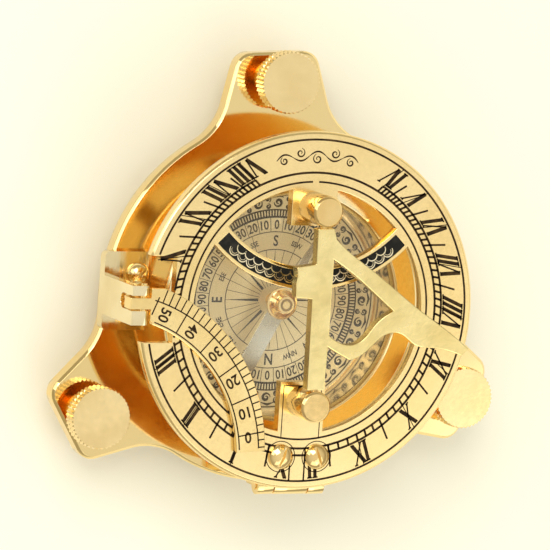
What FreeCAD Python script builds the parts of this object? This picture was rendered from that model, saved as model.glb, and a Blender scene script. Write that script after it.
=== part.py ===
import FreeCAD, Part
import os
import math
from FreeCAD import Vector as V, Rotation, Placement

# Folding sundial compass: a three-eared brass base on levelling screws, a
# glazed compass bowl, an hour ring hinged at its noon end, a folding gnomon
# on two posts and a latitude arc on a bracket at the west side.
# Millimetres. Origin: on the compass axis, at the level of the three feet.
# +Z up, +Y towards the plain end of the hour ring, -Y towards noon (XII),
# -X towards the latitude bracket.

os.makedirs("parts", exist_ok=True)
doc = FreeCAD.newDocument("SundialCompass")
sheet = doc.addObject("Spreadsheet::Sheet", "Dims")

DIMS = [
    ("baseUnder", 8.7, "underside of the base above the feet"),
    ("baseThick", 3.8, "thickness of the base plate"),
    ("baseTop", 12.5, "top of the base plate"),
    ("baseDisc", 41.0, "radius of the round part of the base"),
    ("earEnd", 56.0, "distance of the ear ends from the axis"),
    ("earHalf", 10.1, "half width of an ear"),
    ("earCorner", 4.0, "ear corner radius"),
    ("flankRad", 14.0, "concave flank radius"),
    ("baseBevel", 0.6, "bevel round the top of the base"),
    ("earTurn", 2.8, "turn of the far ear from the hour ring's axes, degrees"),
    ("earTurnB", 0.8, "turn of the left ear, degrees"),
    ("earTurnC", 5.2, "turn of the right ear, degrees"),
    ("recessRad", 27.0, "recess for the bowl"),
    ("recessFloor", 10.5, "height of the recess floor"),
    ("feetRadius", 49.9, "circle of the levelling screws"),
    ("studRad", 2.5, "levelling screw shank radius"),
    ("bracketScrew", 0.9, "bracket screw shank radius"),
    ("studClear", 0.05, "running clearance of the shanks"),
    ("knobRad", 7.0, "thumb knob radius over the knurl"),
    ("knobUnder", 15.9, "underside of the thumb knobs"),
    ("knobThick", 4.1, "thickness of the thumb knobs"),
    ("collarRad", 3.9, "collar under a thumb knob"),
    ("collarLen", 1.0, "length of that collar"),
    ("knurlDeep", 0.45, "depth of the knurl"),
    ("knobBevel", 0.30, "bevel of the knob rims"),
    ("bowlFlange", 26.9, "radius of the bowl's foot"),
    ("bowlOuter", 28.6, "outer radius of the bowl"),
    ("bowlInner", 25.2, "inner radius of the bowl"),
    ("bowlFloor", 11.2, "top of the bowl's floor"),
    ("bowlTop", 21.2, "top of the bowl's wall"),
    ("glassSeat", 20.2, "seat of the glass"),
    ("glassRad", 26.5, "radius of the glass"),
    ("glassThick", 0.95, "thickness of the glass"),
    ("bezelOuter", 30.6, "outer radius of the bezel"),
    ("bezelInner", 24.9, "inner radius of the bezel"),
    ("bezelThick", 1.6, "height of the bezel"),
    ("cardRad", 24.9, "radius of the compass card"),
    ("cardThick", 0.3, "thickness of the card"),
    ("cardTop", 11.5, "top of the card"),
    ("pivotRad", 0.45, "needle pivot radius"),
    ("pivotTip", 17.6, "tip of the pivot"),
    ("needleZ", 16.4, "underside of the needle"),
    ("needleThick", 0.4, "thickness of the needle"),
    ("capRad", 3.6, "radius of the needle cap"),
    ("capTopRad", 1.9, "radius of the flat top of the cap"),
    ("capTop", 19.7, "top of the needle cap"),
    ("ringTop", 31.6, "top of the hour ring"),
    ("ringThick", 2.5, "thickness of the hour ring"),
    ("ringCy", 0.47, "ring centre along Y"),
    ("ringOuter", 40.0, "outer radius of the hour ring"),
    ("ringInner", 27.5, "inner radius of the hour ring"),
    ("ringBevel", 0.55, "bevel of the ring's rim"),
    ("tabHalf", 5.4, "half width of the post tabs"),
    ("tabLowEnd", -15.4, "inner end of the noon tab"),
    ("tabHighEnd", 19.5, "inner end of the other tab"),
    ("barCy", 37.6, "centre of the crossbar's arcs"),
    ("barOuter", 32.4, "outer radius of the crossbar"),
    ("barInner", 27.5, "inner radius of the crossbar"),
    ("inlayDeep", 0.35, "depth of the crossbar's recess"),
    ("notchX", -32.0, "inner edge of the notch for the arc"),
    ("notchLow", -6.8, "lower edge of the notch"),
    ("notchHigh", 12.4, "upper edge of the notch"),
    ("postRad", 3.5, "gnomon post radius"),
    ("postLen", 8.8, "gnomon post height above the ring"),
    ("postLowY", -19.8, "noon-side post"),
    ("postHighY", 23.6, "other post"),
    ("gnX", -0.3, "gnomon pivot line along X"),
    ("gnZ", 38.2, "height of the gnomon pivot line"),
    ("gnThick", 2.6, "thickness of the gnomon"),
    ("gnPinRad", 0.9, "gnomon pivot pin radius"),
    ("pinClear", 0.05, "running clearance of small pins"),
    ("hingeY", -39.3, "ring hinge line along Y"),
    ("hingeZ", 26.9, "ring hinge line height"),
    ("knuckleRad", 2.1, "hinge knuckle radius"),
    ("hingePinRad", 1.0, "hinge pin radius"),
    ("leafThick", 2.0, "thickness of the hinge leaf"),
    ("leafHalf", 8.0, "half length of the hinge"),
    ("knuckleHalf", 4.0, "half length of the middle knuckle"),
    ("screwHeadRad", 2.8, "hinge screw head radius"),
    ("screwHeadThick", 1.9, "hinge screw head height"),
    ("screwShank", 1.2, "hinge screw shank radius"),
    ("screwX", 4.35, "hinge screws along X"),
    ("screwY", -32.2, "hinge screws along Y"),
    ("arcCx", -48.0, "latitude arc centre along X"),
    ("arcCy", -33.3, "latitude arc centre along Y"),
    ("arcInner", 32.4, "latitude arc inner radius"),
    ("arcUnder", 31.8, "underside of the latitude arc"),
    ("arcThick", 1.5, "thickness of the latitude arc"),
    ("arcPinX", -39.3, "latitude arc pivot along X"),
    ("arcPinZ", 31.4, "latitude arc pivot height"),
    ("arcPinRad", 0.7, "latitude arc pivot pin radius"),
    ("brKnuckleRad", 1.05, "bracket knuckle radius round the pin"),
    ("brOut", -42.35, "outer face of the bracket"),
    ("brIn", -40.3, "inner face of the bracket's upright"),
    ("brTop", 32.4, "top of the bracket's upright"),
    ("brLow", -2.9, "upright, lower end along Y"),
    ("brHigh", 5.8, "upright, upper end along Y"),
    ("brFootIn", -31.3, "inner edge of the bracket's foot"),
    ("brFootLow", -6.4, "foot, lower edge along Y"),
    ("brFootHigh", 11.1, "foot, upper edge along Y"),
    ("brFootThick", 2.7, "foot thickness"),
    ("gapLow", 0.25, "lug gap, lower side"),
    ("gapHigh", 3.65, "lug gap, upper side"),
    ("gapFloor", 25.4, "lug gap, floor"),
]
for i, (alias, value, note) in enumerate(DIMS, start=1):
    sheet.set("A%d" % i, note)
    sheet.set("B%d" % i, str(value))
    sheet.setAlias("B%d" % i, alias)
doc.recompute()


def D(alias):
    return float(getattr(sheet, alias))


def put(obj, prop, value):
    if isinstance(value, str):
        obj.setExpression(prop, value)
    else:
        setattr(obj, prop, value)


def place(obj, x, y, z, rot=None):
    nums = [c if not isinstance(c, str) else 0.0 for c in (x, y, z)]
    obj.Placement = Placement(V(*nums), rot or Rotation())
    for k, c in zip("xyz", (x, y, z)):
        if isinstance(c, str):
            obj.setExpression("Placement.Base." + k, c)


ROT = {"Z": Rotation(), "X": Rotation(V(0, 1, 0), 90), "Y": Rotation(V(1, 0, 0), -90)}


def cyl(name, rad, length, x=0.0, y=0.0, z=0.0, axis="Z"):
    o = doc.addObject("Part::Cylinder", name)
    put(o, "Radius", rad)
    put(o, "Height", length)
    place(o, x, y, z, ROT[axis])
    return o


def cone(name, r1, r2, length, x=0.0, y=0.0, z=0.0, axis="Z"):
    o = doc.addObject("Part::Cone", name)
    put(o, "Radius1", r1)
    put(o, "Radius2", r2)
    put(o, "Height", length)
    place(o, x, y, z, ROT[axis])
    return o


def box(name, lx, ly, lz, x, y, z):
    o = doc.addObject("Part::Box", name)
    put(o, "Length", lx)
    put(o, "Width", ly)
    put(o, "Height", lz)
    place(o, x, y, z)
    return o


def fuse(name, shapes):
    o = doc.addObject("Part::MultiFuse", name)
    o.Shapes = shapes
    o.Refine = True
    return o


def cut(name, base, tool):
    o = doc.addObject("Part::Cut", name)
    o.Base = base
    o.Tool = tool
    return o


NODES = {}


def node(label, obj):
    obj.Label = label
    NODES[label] = obj
    return obj


def body(name):
    b = doc.addObject("PartDesign::Body", name)
    return b


def origin_plane(b, role):
    for f in b.Origin.OriginFeatures:
        if f.Role == role:
            return f
    raise RuntimeError(role)


def sketch(b, name, zexpr, role="XY_Plane"):
    s = b.newObject("Sketcher::SketchObject", name)
    s.AttachmentSupport = [(origin_plane(b, role), "")]
    s.MapMode = "FlatFace"
    if zexpr is not None:
        s.setExpression("AttachmentOffset.Base.z", zexpr)
    return s


def pad(b, s, name, length):
    p = b.newObject("PartDesign::Pad", name)
    p.Profile = s
    p.setExpression("Length", length)
    return p


def pocket(b, s, name, length):
    """Cuts from the sketch plane downwards by the given length."""
    doc.recompute()
    before = b.Shape.Volume
    p = b.newObject("PartDesign::Pocket", name)
    p.Profile = s
    p.setExpression("Length", length)
    doc.recompute()
    if not b.Shape.Volume < before - 1e-6:
        raise RuntimeError("pocket %s cut nothing: %r" % (name, [(o.Name, o.State) for o in b.Group]))
    return p


def circle(s, x, y, radexpr, value):
    k = s.addGeometry(Part.Circle(V(x, y, 0), V(0, 0, 1), value))
    import Sketcher
    c = s.addConstraint(Sketcher.Constraint("Radius", k, value))
    s.setExpression("Constraints[%d]" % c, radexpr)
    return k


def lines(s, pts, close=True):
    n = len(pts)
    for i in range(n if close else n - 1):
        a, c = pts[i], pts[(i + 1) % n]
        s.addGeometry(Part.LineSegment(V(a[0], a[1], 0), V(c[0], c[1], 0)))


def arc3(s, p1, p2, p3):
    a = Part.Arc(V(p1[0], p1[1], 0), V(p2[0], p2[1], 0), V(p3[0], p3[1], 0))
    s.addGeometry(a)


def spline(s, pts):
    b = Part.BSplineCurve()
    b.interpolate([V(p[0], p[1], 0) for p in pts])
    s.addGeometry(b)


def rect(s, x0, y0, x1, y1):
    lines(s, [(x0, y0), (x1, y0), (x1, y1), (x0, y1)])


def rot2(p, deg):
    c, q = math.cos(math.radians(deg)), math.sin(math.radians(deg))
    return (p[0] * c - p[1] * q, p[0] * q + p[1] * c)


# ---------------------------------------------------------------- base plate
# One ear along +X: flat end, rounded corners, slightly flared flanks, and a
# concave arc tangent to the flank and to the disc.
def base_outline():
    re, hw, rc, rd, rf = D("earEnd"), D("earHalf"), D("earCorner"), D("baseDisc"), D("flankRad")
    flare = math.radians(15.25)
    d = (-math.cos(flare), math.sin(flare))
    n = (math.sin(flare), math.cos(flare))
    cc = (re - rc, hw - rc * math.cos(flare) + 0.0)
    p_end = (re, cc[1])
    p_mid = (cc[0] + rc * math.cos(math.radians(40)), cc[1] + rc * math.sin(math.radians(40)))
    p_fl = (cc[0] + rc * n[0], cc[1] + rc * n[1])
    # concave arc centre: distance rf outside the flank line, rd + rf from the axis
    ax, ay = p_fl[0] + rf * n[0], p_fl[1] + rf * n[1]
    bq = 2 * (ax * d[0] + ay * d[1])
    cq = ax * ax + ay * ay - (rd + rf) ** 2
    t = (-bq - math.sqrt(bq * bq - 4 * cq)) / 2.0
    cx, cy = ax + t * d[0], ay + t * d[1]
    p_tan = (p_fl[0] + t * d[0], p_fl[1] + t * d[1])
    ang = math.atan2(cy, cx)
    p_disc = (rd * math.cos(ang), rd * math.sin(ang))
    a1 = math.atan2(p_tan[1] - cy, p_tan[0] - cx)
    a2 = math.atan2(p_disc[1] - cy, p_disc[0] - cx)
    if a2 > 0:
        a2 -= 2 * math.pi
    am = (a1 + a2) / 2.0
    p_cm = (cx + rf * math.cos(am), cy + rf * math.sin(am))
    return p_end, p_mid, p_fl, p_tan, p_cm, p_disc, math.degrees(ang)


EAR_TURNS = ("earTurn", "earTurnB", "earTurnC")
EARS = [b0 + D(t) for b0, t in zip((90.0, 210.0, 330.0), EAR_TURNS)]
pe, pm, pf, pt, pc, pd, pang = base_outline()
base = body("base_plate")
s = sketch(base, "base_outline", "Dims.baseUnder")
for i, th in enumerate(EARS):
    nxt = EARS[i + 1] if i < 2 else EARS[0] + 360.0
    R = lambda p: rot2(p, th)
    M = lambda p: rot2((p[0], -p[1]), th)
    lines(s, [M(pe), R(pe)], close=False)
    arc3(s, R(pe), R(pm), R(pf))
    lines(s, [R(pf), R(pt)], close=False)
    arc3(s, R(pt), R(pc), R(pd))
    arc3(s, R(pd), rot2((D("baseDisc"), 0), (th + nxt) / 2.0), rot2((pd[0], -pd[1]), nxt))
    arc3(s, M(pe), M(pm), M(pf))
    lines(s, [M(pf), M(pt)], close=False)
    arc3(s, M(pt), M(pc), M(pd))
pad(base, s, "base_pad", "Dims.baseThick")
doc.recompute()
top_edges = []
for k, e in enumerate(base.Shape.Edges, start=1):
    bb = e.BoundBox
    if bb.ZMin > D("baseTop") - 1e-4:
        top_edges.append("Edge%d" % k)
prev = base.Tip
ch = base.newObject("PartDesign::Chamfer", "base_bevel")
ch.Base = (prev, top_edges)
ch.setExpression("Size", "Dims.baseBevel")
doc.recompute()
s = sketch(base, "base_recess_outline", "Dims.baseTop")
circle(s, 0, 0, "Dims.recessRad", D("recessRad"))
pocket(base, s, "base_recess", "Dims.baseTop - Dims.recessFloor")
s = sketch(base, "base_stud_holes", "Dims.baseTop")
for th in EARS:
    x, y = rot2((D("feetRadius"), 0), th)
    circle(s, x, y, "Dims.studRad + Dims.studClear", D("studRad") + D("studClear"))
circle(s, -34.5, 6.15, "Dims.bracketScrew + 0.1", D("bracketScrew") + 0.1)
pocket(base, s, "base_studs", "Dims.baseThick + 1")
node("base_plate", base)

# -------------------------------------------------- levelling screws, knobs
for tag, th, turn in zip("abc", EARS, EAR_TURNS):
    x, y = rot2((D("feetRadius"), 0), th)
    xs = "Dims.feetRadius * cos(%.1f + Dims.%s)" % (th - D(turn), turn)
    ys = "Dims.feetRadius * sin(%.1f + Dims.%s)" % (th - D(turn), turn)
    # plain shank with a flat foot
    node("stud_" + tag, cyl("stud_shank_" + tag, "Dims.studRad", "Dims.knobUnder - Dims.collarLen", x, y, 0.0))

    kb = body("knob_" + tag)
    s = sketch(kb, "knurl_outline_" + tag, "Dims.knobUnder")
    n = 44
    ro, ri = D("knobRad"), D("knobRad") - D("knurlDeep")
    pts = []
    for i in range(n):
        a = 2 * math.pi * i / n
        b2 = 2 * math.pi * (i + 0.5) / n
        pts.append((ro * math.cos(a), ro * math.sin(a)))
        pts.append((ri * math.cos(b2), ri * math.sin(b2)))
    lines(s, pts)
    pad(kb, s, "knurl_pad_" + tag, "Dims.knobThick")
    doc.recompute()
    # bevelled rims and the groove that parts the knurl in two rows, turned
    s = sketch(kb, "rim_outline_" + tag, None, "XZ_Plane")
    zt, zb, bv = D("knobUnder") + D("knobThick"), D("knobUnder"), D("knobBevel")
    zm = (zt + zb) / 2
    lines(s, [(ro - bv, zt + 0.01), (ro + 0.6, zt + 0.01), (ro + 0.6, zt - bv - 0.6)])
    lines(s, [(ro - bv, zb - 0.01), (ro + 0.6, zb + bv + 0.6), (ro + 0.6, zb - 0.01)])
    lines(s, [(ro - 0.38, zm), (ro + 0.3, zm + 0.5), (ro + 0.3, zm - 0.5)])
    before = kb.Shape.Volume
    gr = kb.newObject("PartDesign::Groove", "rim_groove_" + tag)
    gr.Profile = s
    gr.ReferenceAxis = (s, ["V_Axis"])
    gr.Angle = 360.0
    doc.recompute()
    if not kb.Shape.Volume < before - 1e-6:
        raise RuntimeError("rim groove cut nothing")
    s = sketch(kb, "collar_outline_" + tag, "Dims.knobUnder - Dims.collarLen")
    circle(s, 0, 0, "Dims.collarRad", D("collarRad"))
    pad(kb, s, "collar_pad_" + tag, "Dims.collarLen")
    kb.Placement = Placement(V(x, y, 0), Rotation(V(0, 0, 1), th))
    kb.setExpression("Placement.Base.x", xs)
    kb.setExpression("Placement.Base.y", ys)
    node("knob_" + tag, kb)

# ------------------------------------------------------------- compass bowl
foot = cyl("bowl_foot", "Dims.bowlFlange", "Dims.baseTop - Dims.recessFloor", 0, 0, "Dims.recessFloor")
wall = cyl("bowl_wall", "Dims.bowlOuter", "Dims.bowlTop - Dims.baseTop", 0, 0, "Dims.baseTop")
hollow = cyl("bowl_hollow", "Dims.bowlInner", "Dims.bowlTop - Dims.bowlFloor + 1", 0, 0, "Dims.bowlFloor")
seat = cyl("bowl_seat", "Dims.glassRad + 0.05", "Dims.bowlTop - Dims.glassSeat + 1", 0, 0, "Dims.glassSeat")
node("compass_bowl", cut("compass_bowl", fuse("bowl_solid", [foot, wall]), fuse("bowl_void", [hollow, seat])))
node("bowl_glass", cyl("bowl_glass", "Dims.glassRad", "Dims.glassThick", 0, 0, "Dims.glassSeat"))
rim = cyl("bezel_rim", "Dims.bezelOuter", "Dims.bezelThick - 0.4", 0, 0, "Dims.bowlTop")
rim2 = cone("bezel_top", "Dims.bezelOuter", "Dims.bezelOuter - 0.5", 0.4, 0, 0, "Dims.bowlTop + Dims.bezelThick - 0.4")
bore = cyl("bezel_bore", "Dims.bezelInner", 4, 0, 0, "Dims.bowlTop - 1")
slope = cone("bezel_slope", "Dims.bezelInner", "Dims.bezelInner + 0.9", "Dims.bezelThick - 0.2", 0, 0, "Dims.bowlTop + 0.2001")
node("bezel_ring", cut("bezel_ring", fuse("bezel_solid", [rim, rim2]), fuse("bezel_void", [bore, slope])))
node("compass_card", cut("compass_card",
                         cyl("card_disc", "Dims.cardRad", "Dims.cardThick", 0, 0, "Dims.cardTop - Dims.cardThick"),
                         cyl("card_hole", "Dims.pivotRad + 0.05", 3, 0, 0, "Dims.cardTop - 2")))
pin = cyl("pivot_pin", "Dims.pivotRad", "Dims.pivotTip - Dims.bowlFloor - 0.8", 0, 0, "Dims.bowlFloor")
tip = cone("pivot_tip", "Dims.pivotRad", 0.05, 0.8, 0, 0, "Dims.pivotTip - 0.8")
boss = cyl("pivot_boss", 1.6, 0.9, 0, 0, "Dims.cardTop")
node("needle_pivot", fuse("needle_pivot", [pin, tip, boss]))

# ------------------------------------------------------------------- needle
# A broad tail bar on one side of the hub, a pointed half on the other.
nb = body("compass_needle")
s = sketch(nb, "needle_outline", "Dims.needleZ")
ang = 242.0
outline = [(3.3, -2.1), (16.2, -2.1), (17.6, 0.0), (16.2, 2.1), (3.3, 2.1), (0.0, 3.4), (-3.3, 1.7), (-19.5, 0.0), (-3.3, -1.7), (0.0, -3.4)]
lines(s, [rot2(p, ang) for p in outline])
circle(s, 0, 0, "Dims.pivotRad + 0.9", D("pivotRad") + 0.9)
pad(nb, s, "needle_pad", "Dims.needleThick")
node("compass_needle", nb)
c0 = cyl("cap_plate", "Dims.capRad", 0.6, 0, 0, "Dims.needleZ + Dims.needleThick")
c1 = cone("cap_cone", "Dims.capRad - 0.4", "Dims.capTopRad + 0.2", 1.0, 0, 0, "Dims.needleZ + Dims.needleThick + 0.6")
c2 = cyl("cap_top", "Dims.capTopRad", "Dims.capTop - Dims.needleZ - Dims.needleThick - 1.6", 0, 0, "Dims.needleZ + Dims.needleThick + 1.6")
v0 = cone("cap_cup", "Dims.pivotRad + 0.9", 0.5, 1.6, 0, 0, "Dims.needleZ + Dims.needleThick - 0.001")
node("needle_cap", cut("needle_cap", fuse("cap_solid", [c0, c1, c2]), v0))

# ---------------------------------------------------------------- hour ring
ring = body("hour_ring")
s = sketch(ring, "ring_outline", "Dims.ringTop - Dims.ringThick")
circle(s, 0, D("ringCy"), "Dims.ringOuter", D("ringOuter"))
circle(s, 0, D("ringCy"), "Dims.ringInner", D("ringInner"))
pad(ring, s, "ring_pad", "Dims.ringThick")
doc.recompute()
rim_edges = []
for k, e in enumerate(ring.Shape.Edges, start=1):
    bb = e.BoundBox
    if bb.ZMin > D("ringTop") - 1e-4 and bb.XMax > D("ringOuter") - 0.1:
        rim_edges.append("Edge%d" % k)
prev = ring.Tip
ch = ring.newObject("PartDesign::Chamfer", "ring_bevel")
ch.Base = (prev, rim_edges)
ch.setExpression("Size", "Dims.ringBevel")
doc.recompute()
s = sketch(ring, "tab_outline", "Dims.ringTop - Dims.ringThick")
th_ = D("tabHalf")
rect(s, -th_, D("tabLowEnd"), th_, -29.5)
rect(s, -th_, D("tabHighEnd"), th_, 30.5)
pad(ring, s, "tab_pad", "Dims.ringThick")
doc.recompute()


def sector(sk_, cx, cy, r0, r1, a0, a1):
    P = lambda r, a: (cx + r * math.cos(math.radians(a)), cy + r * math.sin(math.radians(a)))
    am = (a0 + a1) / 2.0
    arc3(sk_, P(r1, a0), P(r1, am), P(r1, a1))
    lines(sk_, [P(r1, a1), P(r0, a1)], close=False)
    arc3(sk_, P(r0, a1), P(r0, am), P(r0, a0))
    lines(sk_, [P(r0, a0), P(r1, a0)], close=False)


s = sketch(ring, "crossbar_outline", "Dims.ringTop - Dims.ringThick")
sector(s, 0, D("barCy"), D("barInner"), D("barOuter"), 270 - 56, 270 + 56)
pad(ring, s, "crossbar_pad", "Dims.ringThick")
doc.recompute()
INL = (D("barInner") + 0.75, D("barOuter") - 0.75, 270 - 45.5, 270 + 45.5)
s = sketch(ring, "inlay_recess_outline", "Dims.ringTop")
sector(s, 0, D("barCy"), INL[0], INL[1], INL[2], INL[3])
pocket(ring, s, "inlay_recess", "Dims.inlayDeep")
s = sketch(ring, "notch_outline", "Dims.ringTop + 1")
rect(s, -45, D("notchLow"), D("notchX"), D("notchHigh"))
pocket(ring, s, "notch", "Dims.ringThick + 2")
s = sketch(ring, "screw_holes", "Dims.ringTop")
for sx in (-1, 1):
    circle(s, sx * D("screwX"), D("screwY"), "Dims.screwShank", D("screwShank"))
pocket(ring, s, "screw_holes_cut", "Dims.ringThick + 1")
node("hour_ring", ring)

inl = body("crossbar_inlay")
s = sketch(inl, "inlay_outline", "Dims.ringTop - Dims.inlayDeep")
sector(s, 0, D("barCy"), INL[0] + 0.02, INL[1] - 0.02, INL[2] + 0.04, INL[3] - 0.04)
pad(inl, s, "inlay_pad", "Dims.inlayDeep - 0.15")
node("crossbar_inlay", inl)

# -------------------------------------------------------------------- posts
for tag, yv in (("noon", "postLowY"), ("far", "postHighY")):
    p0 = cyl("post_body_" + tag, "Dims.postRad", "Dims.postLen - 0.5", "Dims.gnX", "Dims." + yv, "Dims.ringTop")
    p1 = cone("post_top_" + tag, "Dims.postRad", "Dims.postRad - 0.5", 0.5, "Dims.gnX", "Dims." + yv, "Dims.ringTop + Dims.postLen - 0.5")
    side = 1 if tag == "noon" else -1
    # blind bore for the gnomon's pivot pin, open towards the gnomon
    y0 = "Dims.postLowY - 0.4" if side > 0 else "Dims.postHighY + 0.4 - 5"
    bore = cyl("post_bore_" + tag, "Dims.gnPinRad + Dims.pinClear", 5, "Dims.gnX", y0, "Dims.gnZ", "Y")
    node("post_" + tag, cut("post_" + tag, fuse("post_solid_" + tag, [p0, p1]), bore))

# ------------------------------------------------------------------- gnomon
# Flat plate: pivot bar along Y, stop lug on the -X side, style running from
# the top of the bar to the tip, a pear-shaped window and an S-scroll arm.
gn = body("gnomon")
s = sketch(gn, "gnomon_outline", "Dims.gnZ - Dims.gnThick / 2")
gx = D("gnX")
LUG = gx - 6.4
A = [(gx - 2.1, -16.1), (gx - 2.3, 4.2), (LUG + 0.1, 4.5), (LUG, 7.6), (LUG + 0.3, 9.0), (LUG, 11.2), (gx - 1.8, 11.9), (gx - 1.9, 19.8), (gx + 2.0, 19.9), (2.5, 17.5)]
lines(s, A, close=False)
HY = [(2.5, 17.5), (5.6, 14.8), (11.3, 10.9), (18.7, 5.5), (24.2, 1.6), (31.2, -2.9), (36.2, -6.7)]
spline(s, HY[:2] + HY[2:])
lines(s, [HY[-1], (34.6, -8.3)], close=False)
LO = [(34.6, -8.3), (31.5, -7.2), (28.2, -6.6), (22.7, -5.7), (19.6, -3.5), (17.0, -3.2), (15.1, -4.0), (12.5, -6.3), (10.4, -8.1), (7.4, -9.3)]
spline(s, LO)
L2 = [(7.4, -9.3), (5.4, -8.3), (3.7, -7.4), (gx + 2.2, -6.4)]
spline(s, L2)
lines(s, [(gx + 2.2, -6.4), (gx + 1.9, -16.1), (gx - 2.1, -16.1)], close=False)
W1 = [(gx + 2.3, 13.0), (6.7, 10.0), (13.0, 5.1), (17.2, 1.7)]
spline(s, W1)
W2 = [(17.2, 1.7), (15.2, 0.5), (13.0, -1.4), (11.0, -4.0), (7.8, -5.9), (4.8, -5.5), (gx + 2.3, -3.7)]
spline(s, W2)
lines(s, [(gx + 2.3, -3.7), (gx + 2.3, 13.0)], close=False)
pad(gn, s, "gnomon_pad", "Dims.gnThick")
doc.recompute()
# pivot pin seats in both ends of the bar
gn_base = gn.Shape.Volume
s = sketch(gn, "gnomon_seat_outline", None, "XZ_Plane")
circle(s, gx, D("gnZ"), "Dims.gnPinRad", D("gnPinRad"))
pk = gn.newObject("PartDesign::Pocket", "gnomon_seat_low")
pk.Profile = s
pk.Type = 0
pk.Length = 40
pk.Midplane = False
doc.recompute()
# the seats are cut by a through bore along the bar: both directions are
# needed, so the pocket is symmetric about the XZ plane
pk.Midplane = True
pk.Length = 60
doc.recompute()
if not gn.Shape.Volume < gn_base - 1e-6:
    raise RuntimeError("gnomon bore cut nothing")
node("gnomon", gn)
pa = cyl("gn_pin", "Dims.gnPinRad", 40.4, "Dims.gnX", -18.5, "Dims.gnZ", "Y")
node("gnomon_pin", pa)

# --------------------------------------------------------------- ring hinge
hb = box("hinge_foot", 10, 5.6, 2.0, -5, -40.6, "Dims.baseTop")
hp = box("hinge_post", 8, 4.2, "Dims.hingeZ - Dims.baseTop - 1.0", -4, -41.3, "Dims.baseTop")
hp2 = box("hinge_post_step", 8, 1.2, 1.5, -4, -41.3, "Dims.baseTop")
hk = cyl("hinge_mid_knuckle", "Dims.knuckleRad", 8, -4, "Dims.hingeY", "Dims.hingeZ", "X")
hbore = cyl("hinge_mid_bore", "Dims.hingePinRad + Dims.pinClear", 12, -6, "Dims.hingeY", "Dims.hingeZ", "X")
node("hinge_block", cut("hinge_block", fuse("hinge_block_solid", [hb, hp, hk]), hbore))
doc.removeObject(hp2.Name)
lf = box("leaf_plate", 16, 8.4, "Dims.leafThick", -8, -36.4, "Dims.ringTop - Dims.ringThick - Dims.leafThick")
k1 = cyl("leaf_knuckle_a", "Dims.knuckleRad", 3.8, -8, "Dims.hingeY", "Dims.hingeZ", "X")
k2 = cyl("leaf_knuckle_b", "Dims.knuckleRad", 3.8, 4.2, "Dims.hingeY", "Dims.hingeZ", "X")
n1 = box("leaf_neck_a", 3.8, 3.0, "Dims.leafThick", -8, -39.3, "Dims.ringTop - Dims.ringThick - Dims.leafThick")
n2 = box("leaf_neck_b", 3.8, 3.0, "Dims.leafThick", 4.2, -39.3, "Dims.ringTop - Dims.ringThick - Dims.leafThick")
lb = cyl("leaf_bore", "Dims.hingePinRad", 20, -10, "Dims.hingeY", "Dims.hingeZ", "X")
ls1 = cyl("leaf_screw_a", "Dims.screwShank", 6, "-Dims.screwX", "Dims.screwY", 25)
ls2 = cyl("leaf_screw_b", "Dims.screwShank", 6, "Dims.screwX", "Dims.screwY", 25)
node("hinge_leaf", cut("hinge_leaf", fuse("leaf_solid", [lf, k1, k2, n1, n2]), fuse("leaf_void", [lb, ls1, ls2])))
node("hinge_pin", cyl("hinge_pin", "Dims.hingePinRad", 16.6, -8.3, "Dims.hingeY", "Dims.hingeZ", "X"))


def slot_screw(tag, x, y, zhead, rhead, hhead, rsh, zlow, slotdeg, dome):
    """Round-headed slotted screw: the head is a stack of a short cylinder and
    a spherical cap, cut by a straight slot."""
    rc = (rhead * rhead + dome * dome) / (2.0 * dome)
    ball = doc.addObject("Part::Sphere", "ball_" + tag)
    ball.Radius = rc
    place(ball, x, y, zhead + hhead - rc)
    blank = cyl("blank_" + tag, rhead, hhead, x, y, zhead)
    head = doc.addObject("Part::Common", "head_" + tag)
    head.Base = ball
    head.Tool = blank
    shank = cyl("shank_" + tag, rsh, zhead - zlow, x, y, zlow)
    solid = fuse("solid_" + tag, [head, shank])
    slot = box("slot_" + tag, 4 * rhead, 0.62, 1.0, -2 * rhead, -0.31, 0)
    r_ = Rotation(V(0, 0, 1), slotdeg)
    off = r_.multVec(V(-2 * rhead, -0.31, 0))
    slot.Placement = Placement(V(x + off.x, y + off.y, zhead + hhead - 0.85), r_)
    return cut("screw_" + tag, solid, slot)


hs1 = slot_screw("ha", -D("screwX"), D("screwY"), D("ringTop"), D("screwHeadRad"), D("screwHeadThick"), D("screwShank"), 27.3, 70, 1.3)
hs2 = slot_screw("hb", D("screwX"), D("screwY"), D("ringTop"), D("screwHeadRad"), D("screwHeadThick"), D("screwShank"), 27.3, 110, 1.3)
doc.recompute()
hs = doc.addObject("Part::Compound", "hinge_screws")
hs.Links = [hs1, hs2]
node("hinge_screws", hs)

# ------------------------------------------------------------- latitude arc
# Lies flat over the ring. Its end lug hooks over the bracket's pin from
# above: the lug's slot is open downwards.
arc = body("latitude_arc")
cx, cy, ri = D("arcCx"), D("arcCy"), D("arcInner")
Pc = lambda r, a: (cx + r * math.cos(math.radians(a)), cy + r * math.sin(math.radians(a)))
s = sketch(arc, "arc_outline", "Dims.arcUnder")
arc3(s, Pc(ri, 4), Pc(ri, 38), Pc(ri, 71.5))
i1, o1 = Pc(ri, 71.5), Pc(40.8, 71.5)
lines(s, [i1, (-37.9, -1.9), (-38.2, -1.9), (-38.2, 5.4), o1], close=False)
arc3(s, o1, Pc(40.05, 38), Pc(39.2, 4))
lines(s, [Pc(39.2, 4), Pc(ri, 4)], close=False)
pad(arc, s, "arc_pad", "Dims.arcThick")
doc.recompute()
s = sketch(arc, "lug_outline", "Dims.arcPinZ - 1.8")
rect(s, -43.1, 0.75, -35.5, 3.25)
pad(arc, s, "lug_pad", "Dims.arcUnder + Dims.arcThick - Dims.arcPinZ + 1.8")
doc.recompute()
before = arc.Shape.Volume
s = sketch(arc, "lug_slot_outline", None, "XZ_Plane")
px, pz, pr = D("arcPinX"), D("arcPinZ"), D("arcPinRad") + D("pinClear")
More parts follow.
